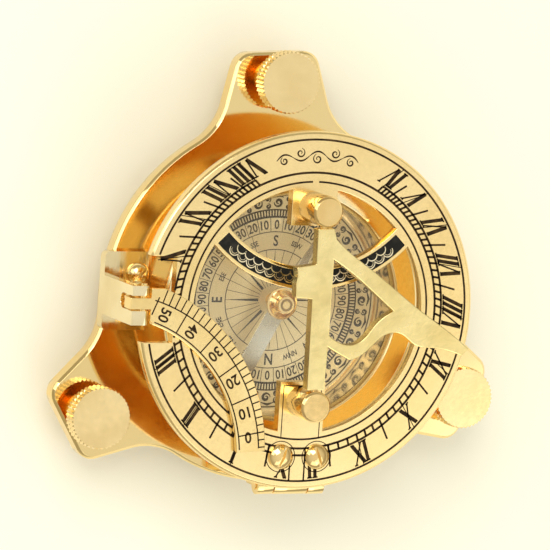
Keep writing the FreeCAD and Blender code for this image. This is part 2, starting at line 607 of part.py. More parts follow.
arc3(s, (px - pr, pz), (px, pz + pr), (px + pr, pz))
lines(s, [(px + pr, pz), (px + pr, pz - 3), (px - pr, pz - 3), (px - pr, pz)], close=False)
pk = arc.newObject("PartDesign::Pocket", "lug_slot")
pk.Profile = s
pk.Midplane = True
pk.Length = 30
doc.recompute()
if not arc.Shape.Volume < before - 1e-6:
    raise RuntimeError("lug slot cut nothing")
node("latitude_arc", arc)

# ------------------------------------------------------------------ bracket
# A flat foot screwed down on the base and an upright at its outer edge. The
# upright's top carries two knuckles with the pin; the arc's lug lies in the
# gap between them.
ft = body("bracket_foot")
s = sketch(ft, "foot_outline", "Dims.baseTop")
fx0, fx1, fy0, fy1, fr = D("brOut"), D("brFootIn"), D("brFootLow"), D("brFootHigh"), 1.2
k45 = fr * (1 - math.cos(math.radians(45)))
lines(s, [(fx0, fy1 - fr), (fx0, fy0 + fr)], close=False)
arc3(s, (fx0, fy0 + fr), (fx0 + k45, fy0 + k45), (fx0 + fr, fy0))
lines(s, [(fx0 + fr, fy0), (fx1, fy0), (fx1, fy1), (fx0 + fr, fy1)], close=False)
arc3(s, (fx0 + fr, fy1), (fx0 + k45, fy1 - k45), (fx0, fy1 - fr))
pad(ft, s, "foot_pad", "Dims.brFootThick")
doc.recompute()
up = box("bracket_upright", "Dims.brIn - Dims.brOut", "Dims.brHigh - Dims.brLow", "Dims.brTop - Dims.baseTop - 1", "Dims.brOut", "Dims.brLow", "Dims.baseTop + 1")
kb_ = box("knuckle_block", "Dims.arcPinX - Dims.brIn + 0.4", "Dims.brHigh - Dims.brLow", "2 * Dims.brKnuckleRad - 0.05", "Dims.brIn - 0.4", "Dims.brLow", "Dims.arcPinZ - Dims.brKnuckleRad")
kr_ = cyl("knuckle_round", "Dims.brKnuckleRad", "Dims.brHigh - Dims.brLow", "Dims.arcPinX", "Dims.brLow", "Dims.arcPinZ", "Y")
gapr = "(Dims.gapHigh - Dims.gapLow) / 2"
gbox = box("lug_gap", 8, "Dims.gapHigh - Dims.gapLow", "Dims.brTop - Dims.gapFloor", "Dims.brOut - 2", "Dims.gapLow", "Dims.gapFloor + " + gapr)
ground = cyl("lug_gap_floor", gapr, 8, "Dims.brOut - 2", "(Dims.gapHigh + Dims.gapLow) / 2", "Dims.gapFloor + " + gapr, "X")
ap_bore = cyl("bracket_bore", "Dims.arcPinRad", "Dims.brHigh - Dims.brLow + 2", "Dims.arcPinX", "Dims.brLow - 1", "Dims.arcPinZ", "Y")
bs_bore = cyl("bracket_screw_bore", 1.0, 6.0, -34.5, 6.15, "Dims.baseTop - 1")
node("arc_bracket", cut("arc_bracket", fuse("bracket_solid", [ft, up, kb_, kr_]), fuse("bracket_void", [gbox, ground, ap_bore, bs_bore])))
node("arc_pin", cyl("arc_pin", "Dims.arcPinRad", "Dims.brHigh - Dims.brLow + 0.5", "Dims.arcPinX", "Dims.brLow", "Dims.arcPinZ", "Y"))
node("bracket_screw", slot_screw("br", -34.5, 6.15, D("baseTop") + D("brFootThick"), 2.6, 2.1, 0.9, 9.6, 42, 1.7))

doc.recompute()

# ------------------------------------------------------------ check, export
bad = []
for o in doc.Objects:
    if any(w in o.State for w in ("Invalid", "Error")):
        bad.append((o.Name, o.State))
for label, o in NODES.items():
    sh = o.Shape
    if sh.isNull() or not sh.isValid() or not sh.Solids:
        bad.append((label, "shape"))
if bad:
    raise RuntimeError("failed objects: %r" % bad)
for label, o in NODES.items():
    o.Shape.exportStep(os.path.join("parts", label + ".step"))
    print("%-18s solids %d  volume %.1f" % (label, len(o.Shape.Solids), o.Shape.Volume))
print("nodes", len(NODES))
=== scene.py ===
import bpy
import bmesh
import math
from mathutils import Matrix, Vector


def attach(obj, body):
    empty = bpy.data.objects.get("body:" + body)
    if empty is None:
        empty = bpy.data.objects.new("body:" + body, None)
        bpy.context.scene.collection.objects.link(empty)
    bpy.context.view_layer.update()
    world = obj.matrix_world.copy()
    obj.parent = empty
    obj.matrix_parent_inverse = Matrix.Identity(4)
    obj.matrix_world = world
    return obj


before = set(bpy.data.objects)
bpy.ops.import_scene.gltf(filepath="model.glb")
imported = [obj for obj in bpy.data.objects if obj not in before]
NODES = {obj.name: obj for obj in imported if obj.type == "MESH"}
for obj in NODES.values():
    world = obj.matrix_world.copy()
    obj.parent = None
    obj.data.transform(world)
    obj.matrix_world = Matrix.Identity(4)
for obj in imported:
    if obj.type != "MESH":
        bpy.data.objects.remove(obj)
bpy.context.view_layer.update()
MM = 0.001

scene = bpy.context.scene
scene.view_settings.view_transform = "Standard"
scene.view_settings.look = "None"
scene.view_settings.exposure = 0.0
scene.view_settings.gamma = 1.0
scene.cycles.max_bounces = 14
scene.cycles.glossy_bounces = 10


# ------------------------------------------------------------------ materials
def new_mat(name):
    m = bpy.data.materials.new(name)
    m.use_nodes = True
    nt = m.node_tree
    bsdf = nt.nodes["Principled BSDF"]
    return m, nt, bsdf


def node(nt, kind, **props):
    n = nt.nodes.new(kind)
    for k, v in props.items():
        setattr(n, k, v)
    return n


def coords(nt, scale=(1, 1, 1)):
    tc = node(nt, "ShaderNodeTexCoord")
    mp = node(nt, "ShaderNodeMapping")
    mp.inputs["Scale"].default_value = scale
    nt.links.new(tc.outputs["Object"], mp.inputs["Vector"])
    return mp.outputs["Vector"]


def ramp(nt, fac, stops):
    r = node(nt, "ShaderNodeValToRGB")
    el = r.color_ramp.elements
    while len(el) < len(stops):
        el.new(0.5)
    for e, (p, c) in zip(el, stops):
        e.position = p
        e.color = (c[0], c[1], c[2], 1.0)
    nt.links.new(fac, r.inputs["Fac"])
    return r.outputs["Color"]


def brass(name, base, dark, rough=(0.12, 0.22), grain=900.0, bump=0.02, cloud=60.0, stretch=(1, 1, 1), scratch=0.0):
    """Polished or satin brass: patchy tone, uneven gloss and fine grain,
    streaked along one axis when stretch is given. The scratch argument is not used."""
    m, nt, b = new_mat(name)
    b.inputs["Metallic"].default_value = 1.0
    b.inputs["Specular IOR Level"].default_value = 0.5
    v = coords(nt)
    n1 = node(nt, "ShaderNodeTexNoise")
    n1.inputs["Scale"].default_value = cloud
    n1.inputs["Detail"].default_value = 4.0
    nt.links.new(v, n1.inputs["Vector"])
    col = ramp(nt, n1.outputs["Fac"], [(0.32, dark), (0.62, base)])
    nt.links.new(col, b.inputs["Base Color"])
    v2 = coords(nt, stretch)
    n2 = node(nt, "ShaderNodeTexNoise")
    n2.inputs["Scale"].default_value = grain
    n2.inputs["Detail"].default_value = 3.0
    nt.links.new(v2, n2.inputs["Vector"])
    mr = node(nt, "ShaderNodeMapRange")
    mr.inputs["From Min"].default_value = 0.3
    mr.inputs["From Max"].default_value = 0.7
    mr.inputs["To Min"].default_value = rough[0]
    mr.inputs["To Max"].default_value = rough[1]
    mix = node(nt, "ShaderNodeMath", operation="MULTIPLY_ADD")
    nt.links.new(n1.outputs["Fac"], mix.inputs[0])
    mix.inputs[1].default_value = 0.5
    nt.links.new(n2.outputs["Fac"], mix.inputs[2])
    sub = node(nt, "ShaderNodeMath", operation="SUBTRACT")
    nt.links.new(mix.outputs[0], sub.inputs[0])
    sub.inputs[1].default_value = 0.25
    nt.links.new(sub.outputs[0], mr.inputs["Value"])
    nt.links.new(mr.outputs["Result"], b.inputs["Roughness"])
    bm = node(nt, "ShaderNodeBump")
    bm.inputs["Strength"].default_value = bump
    bm.inputs["Distance"].default_value = 0.0003
    nt.links.new(n2.outputs["Fac"], bm.inputs["Height"])
    nt.links.new(bm.outputs["Normal"], b.inputs["Normal"])
    return m


POL = (0.93, 0.70, 0.33)
POLD = (0.88, 0.62, 0.26)
M_BASE = brass("brass_polished_base", (0.91, 0.715, 0.355), (0.87, 0.66, 0.30), rough=(0.05, 0.10), grain=200, bump=0.0, cloud=22)
M_TURN = brass("brass_turned", POL, POLD, rough=(0.07, 0.16), grain=900, bump=0.03, cloud=120)
M_KNOB = brass("brass_knob", (0.93, 0.73, 0.38), (0.87, 0.66, 0.32), rough=(0.09, 0.18), grain=700, bump=0.02, cloud=110)
M_DIAL = brass("brass_dial_satin", (0.95, 0.74, 0.37), (0.92, 0.69, 0.31), rough=(0.13, 0.23), grain=1500, bump=0.015, cloud=45)
M_GNOM = brass("brass_cast_gnomon", (0.87, 0.73, 0.36), (0.77, 0.61, 0.26), rough=(0.16, 0.28), grain=420, bump=0.10, cloud=110)
M_BRKT = brass("brass_bracket_brushed", (0.88, 0.76, 0.49), (0.80, 0.66, 0.38), rough=(0.06, 0.17), grain=900, bump=0.10, cloud=90, stretch=(1.0, 0.12, 0.12))
M_ARC = brass("brass_arc_satin", (0.95, 0.74, 0.36), (0.90, 0.67, 0.29), rough=(0.13, 0.23), grain=1400, bump=0.02, cloud=60)
M_BOWL = brass("brass_bowl", (0.95, 0.79, 0.48), (0.92, 0.74, 0.41), rough=(0.10, 0.18), grain=800, bump=0.01, cloud=50)


M_BEZEL = brass("brass_bezel", (0.95, 0.80, 0.49), (0.92, 0.75, 0.42), rough=(0.10, 0.18), grain=800, bump=0.01, cloud=50)
# dark brass for the countersink on the needle's hub: painted shade in the recess
M_HUB_SHADE = brass("brass_hub_painted_shade", (0.40, 0.27, 0.11), (0.30, 0.19, 0.07), rough=(0.30, 0.45), grain=900, bump=0.02, cloud=120)


def ink(name, base=(0.020, 0.011, 0.004), worn=(0.075, 0.042, 0.014)):
    """Dark wax in the engraving, a little worn through in places."""
    m, nt, b = new_mat(name)
    n = node(nt, "ShaderNodeTexNoise")
    n.inputs["Scale"].default_value = 500.0
    n.inputs["Detail"].default_value = 3.0
    nt.links.new(coords(nt), n.inputs["Vector"])
    nt.links.new(ramp(nt, n.outputs["Fac"], [(0.45, base), (0.75, worn)]), b.inputs["Base Color"])
    mr = node(nt, "ShaderNodeMapRange")
    mr.inputs["To Min"].default_value = 0.45
    mr.inputs["To Max"].default_value = 0.75
    nt.links.new(n.outputs["Fac"], mr.inputs["Value"])
    nt.links.new(mr.outputs["Result"], b.inputs["Roughness"])
    b.inputs["Specular IOR Level"].default_value = 0.12
    return m


M_INK = ink("engraving_wax")
M_INK2 = ink("card_ink", (0.018, 0.011, 0.006), (0.06, 0.038, 0.015))
M_BLACK = ink("black_enamel", (0.012, 0.012, 0.010), (0.035, 0.032, 0.026))


def card_mat():
    m, nt, b = new_mat("card_brass_print")
    n = node(nt, "ShaderNodeTexNoise")
    n.inputs["Scale"].default_value = 90.0
    n.inputs["Detail"].default_value = 4.0
    nt.links.new(coords(nt), n.inputs["Vector"])
    nt.links.new(ramp(nt, n.outputs["Fac"], [(0.3, (0.94, 0.77, 0.41)), (0.7, (1.0, 0.85, 0.49))]), b.inputs["Base Color"])
    b.inputs["Metallic"].default_value = 0.30
    mr = node(nt, "ShaderNodeMapRange")
    mr.inputs["To Min"].default_value = 0.16
    mr.inputs["To Max"].default_value = 0.34
    nt.links.new(n.outputs["Fac"], mr.inputs["Value"])
    nt.links.new(mr.outputs["Result"], b.inputs["Roughness"])
    return m


M_CARD = card_mat()


def glass_mat():
    m, nt, b = new_mat("bowl_glass_clear")
    n = node(nt, "ShaderNodeTexNoise")
    n.inputs["Scale"].default_value = 40.0
    nt.links.new(coords(nt), n.inputs["Vector"])
    mr = node(nt, "ShaderNodeMapRange")
    mr.inputs["To Min"].default_value = 0.02
    mr.inputs["To Max"].default_value = 0.06
    nt.links.new(n.outputs["Fac"], mr.inputs["Value"])
    nt.links.new(mr.outputs["Result"], b.inputs["Roughness"])
    b.inputs["Base Color"].default_value = (0.96, 0.98, 0.94, 1.0)
    b.inputs["Alpha"].default_value = 0.07
    b.inputs["IOR"].default_value = 1.5
    b.inputs["Specular IOR Level"].default_value = 1.0
    return m


M_GLASS = glass_mat()


def steel_mat():
    m, nt, b = new_mat("needle_nickel")
    n = node(nt, "ShaderNodeTexNoise")
    n.inputs["Scale"].default_value = 60.0
    nt.links.new(coords(nt), n.inputs["Vector"])
    nt.links.new(ramp(nt, n.outputs["Fac"], [(0.3, (0.60, 0.58, 0.48)), (0.7, (0.68, 0.66, 0.56))]), b.inputs["Base Color"])
    b.inputs["Metallic"].default_value = 1.0
    mr = node(nt, "ShaderNodeMapRange")
    mr.inputs["To Min"].default_value = 0.18
    mr.inputs["To Max"].default_value = 0.35
    nt.links.new(n.outputs["Fac"], mr.inputs["Value"])
    nt.links.new(mr.outputs["Result"], b.inputs["Roughness"])
    return m


M_NEEDLE = steel_mat()

ASSIGN = {
    "base_plate": M_BASE, "compass_bowl": M_BOWL, "bezel_ring": M_BEZEL, "bowl_glass": M_GLASS,
    "compass_card": M_CARD, "needle_pivot": M_TURN, "compass_needle": M_NEEDLE, "needle_cap": M_TURN,
    "hour_ring": M_DIAL, "crossbar_inlay": M_BLACK, "post_noon": M_TURN, "post_far": M_TURN,
    "gnomon": M_GNOM, "gnomon_pin": M_TURN, "hinge_block": M_BASE, "hinge_leaf": M_BASE,
    "hinge_pin": M_TURN, "hinge_screws": M_TURN, "latitude_arc": M_ARC, "arc_bracket": M_BRKT,
    "arc_pin": M_TURN, "bracket_screw": M_TURN,
    "stud_a": M_TURN, "stud_b": M_TURN, "stud_c": M_TURN,
    "knob_a": M_KNOB, "knob_b": M_KNOB, "knob_c": M_KNOB,
}
BEVEL = {"gnomon": 0.22, "latitude_arc": 0.14, "arc_bracket": 0.18, "hinge_block": 0.15, "hinge_leaf": 0.12,
         "hour_ring": 0.10, "base_plate": 0.12, "bezel_ring": 0.08, "post_noon": 0.15, "post_far": 0.15,
         "hinge_screws": 0.08, "bracket_screw": 0.08, "compass_needle": 0.06, "needle_cap": 0.08}
for name, ob in NODES.items():
    ob.data.materials.clear()
    ob.data.materials.append(ASSIGN[name])
    if name in BEVEL:
        w = ob.modifiers.new("weld", "WELD")
        w.merge_threshold = 1e-6
        bv = ob.modifiers.new("bevel", "BEVEL")
        bv.width = BEVEL[name] * MM
        bv.segments = 2
        bv.limit_method = "ANGLE"
        bv.angle_limit = math.radians(38)
        bv.harden_normals = False
        bv.use_clamp_overlap = True


# --------------------------------------------------------------- mark builder
class Marks:
    """Collects thin closed strips lying on a flat face: each strip is a run
    of stations (point, half width) swept as a slab from z0 to z1."""

    def __init__(self, z0, z1):
        self.v, self.f = [], []
        self.z0, self.z1 = z0, z1

    def strip(self, pts, widths, closed=False, z0=None, z1=None):
        z0 = self.z0 if z0 is None else z0
        z1 = self.z1 if z1 is None else z1
        n = len(pts)
        if not hasattr(widths, "__len__"):
            widths = [widths] * n
        base = len(self.v)
        for i in range(n):
            if closed:
                a, b = pts[i - 1], pts[(i + 1) % n]
            else:
                a, b = pts[max(i - 1, 0)], pts[min(i + 1, n - 1)]
            dx, dy = b[0] - a[0], b[1] - a[1]
            L = math.hypot(dx, dy) or 1.0
            nx, ny = -dy / L, dx / L
            h = widths[i] / 2.0
            x, y = pts[i]
            for z in (z0, z1):
                self.v.append((x + nx * h, y + ny * h, z))
                self.v.append((x - nx * h, y - ny * h, z))
        m = n if closed else n - 1
        for i in range(m):
            p = base + 4 * i
            q = base + 4 * ((i + 1) % n)
            # 0 left low, 1 right low, 2 left high, 3 right high
            self.f.append((p + 2, p + 3, q + 3, q + 2))
            self.f.append((p + 0, q + 0, q + 1, p + 1))
            self.f.append((p + 0, p + 2, q + 2, q + 0))
            self.f.append((p + 1, q + 1, q + 3, p + 3))
        if not closed:
            p, q = base, base + 4 * (n - 1)
            self.f.append((p + 0, p + 1, p + 3, p + 2))
            self.f.append((q + 0, q + 2, q + 3, q + 1))

    def line(self, a, b, w):
        self.strip([a, b], w)

    def taper(self, a, b, wa, wb):
        self.strip([a, b], [wa, wb])

    def circle(self, c, r, w, n=180):
        self.strip([(c[0] + r * math.cos(2 * math.pi * i / n), c[1] + r * math.sin(2 * math.pi * i / n)) for i in range(n)], w, closed=True)

    def arc(self, c, r, a0, a1, w, step=2.0):
        n = max(2, int(abs(a1 - a0) / step) + 1)
        self.strip([(c[0] + r * math.cos(math.radians(a0 + (a1 - a0) * i / n)), c[1] + r * math.sin(math.radians(a0 + (a1 - a0) * i / n))) for i in range(n + 1)], w)

    def build(self, name, mat, body, scale=MM):
        me = bpy.data.meshes.new(name)
        me.from_pydata([(x * scale, y * scale, z * scale) for x, y, z in self.v], [], self.f)
        me.update()
        bm = bmesh.new()
        bm.from_mesh(me)
        bmesh.ops.recalc_face_normals(bm, faces=bm.faces)
        bm.to_mesh(me)
        bm.free()
        me.materials.append(mat)
        ob = bpy.data.objects.new(name, me)
        scene.collection.objects.link(ob)
        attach(ob, body)
        return ob


def text_mesh(items, name, z0, z1, mat, body, bold=0.02):
    """Built-in font glyphs cut as thin solids. items: (string, x, y, up angle
    in degrees, height mm, width factor)."""
    verts, faces = [], []
    cache = {}
    for s, x, y, up, h, wf in items:
        if s not in cache:
            cu = bpy.data.curves.new("glyph", "FONT")
            cu.body = s
            cu.align_x = "CENTER"
            cu.align_y = "CENTER"
            cu.resolution_u = 3
            cu.extrude = 0.5
            cu.offset = bold
            ob = bpy.data.objects.new("glyph", cu)
            scene.collection.objects.link(ob)
            dg = bpy.context.evaluated_depsgraph_get()
            me = bpy.data.meshes.new_from_object(ob.evaluated_get(dg))
            bm = bmesh.new()
            bm.from_mesh(me)
            bmesh.ops.remove_doubles(bm, verts=bm.verts, dist=1e-5)
            vs = [tuple(v.co) for v in bm.verts]
            fs = [tuple(v.index for v in f.verts) for f in bm.faces]
            bm.free()
            bpy.data.objects.remove(ob)
            bpy.data.curves.remove(cu)
            bpy.data.meshes.remove(me)
            ys = [v[1] for v in vs] or [0, 1]
            xs = [v[0] for v in vs] or [0, 1]
            cache[s] = (vs, fs, (min(xs) + max(xs)) / 2, (min(ys) + max(ys)) / 2, max(ys) - min(ys))
        vs, fs, mx, my, hh = cache[s]
        k = h / (hh or 1.0)
        c, q = math.cos(math.radians(up - 90)), math.sin(math.radians(up - 90))
        b0 = len(verts)
        for vx, vy, vz in vs:
            lx, ly = (vx - mx) * k * wf, (vy - my) * k
            verts.append(((x + lx * c - ly * q) * MM, (y + lx * q + ly * c) * MM, (z1 if vz > 0 else z0) * MM))
        for f in fs:
            faces.append(tuple(b0 + i for i in f))
    me = bpy.data.meshes.new(name)
    me.from_pydata(verts, [], faces)
    me.update()
    me.materials.append(mat)
    ob = bpy.data.objects.new(name, me)
    scene.collection.objects.link(ob)
    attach(ob, body)
    return ob


# ------------------------------------------------------ hour ring, engraving
RT = 31.6
CY = 0.47
ring = Marks(RT - 0.05, RT + 0.035)


def rp(a, r):
    """a in degrees clockwise from noon (-Y) towards -X, r from the ring's centre."""
    t = math.radians(a)
    return (-r * math.sin(t), CY - r * math.cos(t))


def rarc(m, r, a0, a1, w, step=1.5):
    n = max(2, int(abs(a1 - a0) / step) + 1)
    m.strip([rp(a0 + (a1 - a0) * i / n, r) for i in range(n + 1)], w)


R_OUT, R_LO, R_LI, R_IN = 38.2, 32.4, 30.85, 28.8
# hour lines: hour angle index -> (angle at the outer line, angle at the ladder)
HOURS = {
    -8: (-146.5, -149.9), -7: (-134.2, -138.9), -6: (-121.0, -125.6), -5: (-105.2, -109.7), -4: (-87.5, -91.7),
    -3: (-68.2, -71.4), -2: (-46.8, -49.3), -1: (-25.0, -26.1), 0: (0.0, 0.0),
    1: (25.4, 26.6), 2: (47.5, 50.0), 3: (69.5, 72.8), 4: (88.2, 92.2), 5: (106.8, 111.6), 6: (123.3, 128.2),
    7: (136.9, 141.4), 8: (149.4, 153.2),
}


def hour_angle(t, r):
    i = max(-8, min(7, math.floor(t)))
    f = t - i
    a0, b0 = HOURS[i]
    a1, b1 = HOURS[i + 1]
    ao, ai = a0 + (a1 - a0) * f, b0 + (b1 - b0) * f
    g = (R_OUT - r) / (R_OUT - R_LO)
    return ao + (ai - ao) * g


NOTCH_A = (77.0, 109.0)
rarc(ring, R_OUT, -180 + 0.0, 78.6, 0.46)
rarc(ring, R_OUT, 108.6, 180.0, 0.46)
rarc(ring, R_LO, -150.0, 77.2, 0.50)
rarc(ring, R_LO, 97.6, 153.3, 0.50)
rarc(ring, R_LI, -180.0, 180.0, 0.50)
rarc(ring, R_IN, -178.6, 178.4, 0.42)


def notched(x, y):
    return x < -31.9 and -6.9 < y < 12.5


def hline(t, r0, r1, w):
    a, b = rp(hour_angle(t, r0), r0), rp(hour_angle(t, r1), r1)
    if notched(*a) and notched(*b):
        return
    ring.line(a, b, w)


for i in range(-8 * 6, 8 * 6 + 1):
    t = i / 6.0
    if abs(t) < 0.1:
        continue
    hline(t, R_LO, R_LI, 0.50)
for i in range(-16, 17):
    if i % 2:
        t = i / 2.0
        if t in (4.5, 3.5) and t == 4.5:
            continue
        hline(t, 35.8, R_LO, 0.44)

for i in range(-8, 9):
    if i:
        hline(float(i), R_OUT, R_LO, 0.20)

# noon: a double line a gnomon's thickness apart
for x in (-2.0, 1.55):
    ring.line((x, CY - 38.2), (x, CY - R_LI), 0.38)


def glyph(kind, t, r_base, height, off, line_a=None):
    """Serifed roman stroke groups. The foot stands on r_base, the top points
    to the centre, strokes lean with the hour line. off: mm along the rim."""
    def P(x, y):
        r = r_base - y * height
        a = (hour_angle(t, r) if line_a is None else line_a)
        return rp(a - math.degrees((x + off) / r), r)

    thick, thin, ser = 0.80, 0.36, 0.34
    if kind == "I":
        ring.strip([P(0, 0.02), P(0, 0.98)], thick)
        ring.strip([P(-0.6, 0.03), P(0.6, 0.03)], ser)
        ring.strip([P(-0.6, 0.97), P(0.6, 0.97)], ser)
    elif kind == "V":
        w = 1.15
        ring.strip([P(-w, 0.97), P(-0.02, 0.02)], thick * 1.1)
        ring.strip([P(w, 0.97), P(0.05, 0.02)], thin)
        ring.strip([P(-w - 0.45, 0.97), P(-w + 0.5, 0.97)], ser)
        ring.strip([P(w - 0.42, 0.97), P(w + 0.42, 0.97)], ser)
    elif kind == "X":
        w = 1.1
        ring.strip([P(-w, 0.97), P(w, 0.03)], thick * 1.1)
        ring.strip([P(w, 0.97), P(-w, 0.03)], thin)
        for sx in (-1, 1):
            for yy in (0.03, 0.97):
                ring.strip([P(sx * w - 0.42, yy), P(sx * w + 0.42, yy)], ser)


WID = {"I": 1.30, "V": 2.7, "X": 2.6}


def numeral(text, t, line_a=None):
    total = sum(WID[c] for c in text)
    x = -total / 2
    for c in text:
        glyph(c, t, 37.75, 4.95, x + WID[c] / 2, line_a)
        x += WID[c]


for t, s in {1: "I", 2: "II", 3: "III", 5: "V", 6: "VI", 7: "VII", 8: "VIII",
             -1: "XI", -2: "X", -3: "IX", -4: "VIII", -5: "VII", -6: "VI", -7: "V", -8: "IV"}.items():
    numeral(s, t)
numeral("X", 0, line_a=6.3)
numeral("II", 0, line_a=-5.7)

# rings turned round the two hinge screws
for sx in (-1, 1):
    c = (sx * 4.35, -32.2)
    ring.circle(c, 3.45, 0.2, 48)


# scroll ornament on the plain part of the ring, between the two VIII / IV ends
def scroll(m, cx, cy, ang, size, flip=1.0, w=0.32):
    """A C-scroll: a spiral whose line swells and thins."""
    pts, ws = [], []
    n = 34
    for i in range(n + 1):
        u = i / n
        th = u * 2 * math.pi * 1.35
        r = size * (1 - 0.82 * u)
        x, y = r * math.cos(th), flip * r * math.sin(th)
        c, s = math.cos(math.radians(ang)), math.sin(math.radians(ang))
        pts.append((cx + x * c - y * s, cy + x * s + y * c))
        ws.append(w * (0.35 + 0.9 * math.sin(math.pi * min(1, u * 1.15))) if u < 0.85 else w * 0.55)
    m.strip(pts, ws)


def wave(m, a0, a1, r0, amp, w):
    pts, ws = [], []
    n = 70
    for i in range(n + 1):
        u = i / n
        a = a0 + (a1 - a0) * u
        r = r0 + amp * math.sin(u * 2 * math.pi * 2.5)
        pts.append(rp(a, r))
        ws.append(w * (0.4 + 0.75 * abs(math.sin(u * 2 * math.pi * 2.5))))
    m.strip(pts, ws)


wave(ring, 163.5, 196.5, 34.6, 0.95, 0.34)
for k, (a, r, f, sz) in enumerate([(166.5, 34.2, 1, 0.95), (173.2, 35.4, -1, 1.1), (180.0, 33.9, 1, 1.15), (186.8, 35.3, -1, 1.1), (193.5, 34.1, 1, 0.95)]):
    x, y = rp(a, r)
    scroll(ring, x, y, 270 - a + (20 if f > 0 else -20), sz, f, 0.3)

# border lines on the two post tabs
for x in (-4.55, 4.55):
    ring.line((x, -28.2), (x, -16.3), 0.2)
ring.line((-4.55, -16.3), (4.55, -16.3), 0.2)
ring.build("ring_engraving", M_INK, "ring")

# ------------------------------------------------- crossbar: fish-scale relief
BC = (0.0, 37.6)
scal = Marks(31.42, 31.58)
PITCH = math.degrees(2.5 / 30.2)
for r0, off in ((29.98, 0.0), (28.62, PITCH / 2)):
    for k in range(-11, 12):
        a = 270 + k * PITCH + off
        if abs(a - 270) > 40.2:
            continue
        cx, cy = BC[0] + r0 * math.cos(math.radians(a)), BC[1] + r0 * math.sin(math.radians(a))
        for rr, w in ((1.24, 0.24), (0.80, 0.12)):
            if r0 < 29 and rr < 1:
                continue
            # every scale is rounded towards the bar's noon edge
            scal.strip([(cx + rr * math.cos(math.radians(a + d)), cy + rr * math.sin(math.radians(a + d))) for d in range(-88, 89, 11)],
                       [w * (0.55 + 0.45 * math.cos(math.radians(d))) for d in range(-88, 89, 11)])
M_SCALE = brass("brass_scale_lines", (0.95, 0.85, 0.62), (0.85, 0.72, 0.45), rough=(0.2, 0.35), grain=900, bump=0.02, cloud=200)
scal.build("crossbar_scales", M_SCALE, "ring")

# --------------------------------------------------- latitude arc, graduation
AC = (-48.0, -33.3)
AT = 33.3
lat = Marks(AT - 0.05, AT + 0.035)


def ap(a, r):
    return (AC[0] + r * math.cos(math.radians(a)), AC[1] + r * math.sin(math.radians(a)))


lat.arc(AC, 33.05, 5.0, 71.0, 0.30, 1.5)
lat.arc(AC, 37.65, 5.0, 73.5, 0.30, 1.5)
SEP = [73.0, 60.9, 48.0, 35.3, 23.0, 10.3]


def outer_r(a):
    return 40.8 - (71.5 - a) * (40.8 - 39.2) / 67.5


for a in SEP:
    r1 = min(outer_r(a), 40.8) - 0.15
    if a > 72:
        lat.line(ap(a, 34.4), ap(a - 0.6, 38.6), 0.30)
        continue
    lat.line(ap(a, 33.0), ap(a, r1), 0.30)
for i in range(5):
    for k in range(1, 5):
        a = SEP[i] + (SEP[i + 1] - SEP[i]) * k / 5.0
        r1 = min(outer_r(a), 40.8) - 0.12
        lat.line(ap(a, 37.65), ap(a, r1), 0.28)
for k in (1, 2):
    a = SEP[5] - 2.5 * k
    lat.line(ap(a, 37.65), ap(a, outer_r(a) - 0.12), 0.28)
lat.build("arc_graduation", M_INK, "arc")
items = []
for a, s in ((68.2, "50"), (56.0, "40"), (43.3, "30"), (30.8, "20"), (18.2, "10"), (9.2, "0")):
    cx, cy = ap(a, 35.3)
    items.append((s, cx, cy, a - 90, 2.6, 0.92))
text_mesh(items, "arc_numbers", AT - 0.05, AT + 0.035, M_INK, "arc")

# ------------------------------------------------------------- compass card
CT = 11.5
card = Marks(CT - 0.02, CT + 0.03)


def cp(a, r):
    """a in degrees counter-clockwise from +X."""
    return (r * math.cos(math.radians(a)), r * math.sin(math.radians(a)))


O = (0.0, 0.0)
card.circle(O, 11.45, 0.2, 120)
card.circle(O, 15.45, 0.2, 140)
card.circle(O, 18.85, 0.45, 160)
card.circle(O, 20.45, 0.35, 160)
for k in range(180):
    a = 2.0 * k
    card.line(cp(a, 18.9), cp(a, 20.4), 0.36)
for k in range(36):
    card.line(cp(10 * k + 5, 15.5), cp(10 * k + 5, 18.7), 0.14)
for k in range(32):
    a = k * 11.25
    if k % 4 == 0:
        card.taper(cp(a, 3.4), cp(a, 11.4), 0.65, 0.05)
    else:
        card.line(cp(a, 3.2), cp(a, 11.4), 0.11)
for k in range(8):
    a = 22.5 + 45 * k
    card.line(cp(a, 11.4), cp(a, 15.45), 0.001 + 0.12)
# outer garland: alternate scrolls and leaves all round
for k in range(28):
    a = 360.0 / 28 * k
    x, y = cp(a, 22.1)
    scroll(card, x, y, a + (90 if k % 2 else -60), 1.05, 1 if k % 2 else -1, 0.52)
    x, y = cp(a + 6.4, 22.9)
    scroll(card, x, y, a + 200, 0.72, 1, 0.42)
    x, y = cp(a + 6.4, 21.3)
    scroll(card, x, y, a + 20, 0.58, -1, 0.38)
    card.strip([cp(a - 3, 23.3), cp(a + 1, 23.75), cp(a + 5, 23.3)], [0.15, 0.6, 0.15])
card.circle(O, 24.3, 0.3, 160)
card.build("card_scales", M_INK2, "base")
items = []
for k in range(36):
    # compass bearings in quadrants: 0 at north and south, 90 at east and west
    a = 10 * k
    q = a % 180
    val = abs(90 - q)
    txt = str(int(val))
    # north is at the noon side (-Y), so 0 falls on +-Y
    cx, cy = cp(a, 17.1)
    items.append((txt, cx, cy, a, 2.15, 0.82))
text_mesh(items, "card_numbers", CT - 0.02, CT + 0.03, M_INK2, "base")
items = []
for a, s, h in ((180, "E", 2.5), (90, "S", 2.5), (0, "W", 2.3), (270, "N", 2.6),
                (225, "NE", 1.7), (135, "SE", 1.7), (45, "SW", 1.7), (315, "NW", 1.7),
                (247.5, "NNE", 1.25), (202.5, "ENE", 1.25), (157.5, "ESE", 1.25), (112.5, "SSE", 1.25),
                (67.5, "SSW", 1.25), (22.5, "WSW", 1.25), (337.5, "WNW", 1.25), (292.5, "NNW", 1.25)):
    cx, cy = cp(a, 13.45)
    items.append((s, cx, cy, a, h, 0.8))
text_mesh(items, "card_letters", CT - 0.02, CT + 0.03, M_INK2, "base")
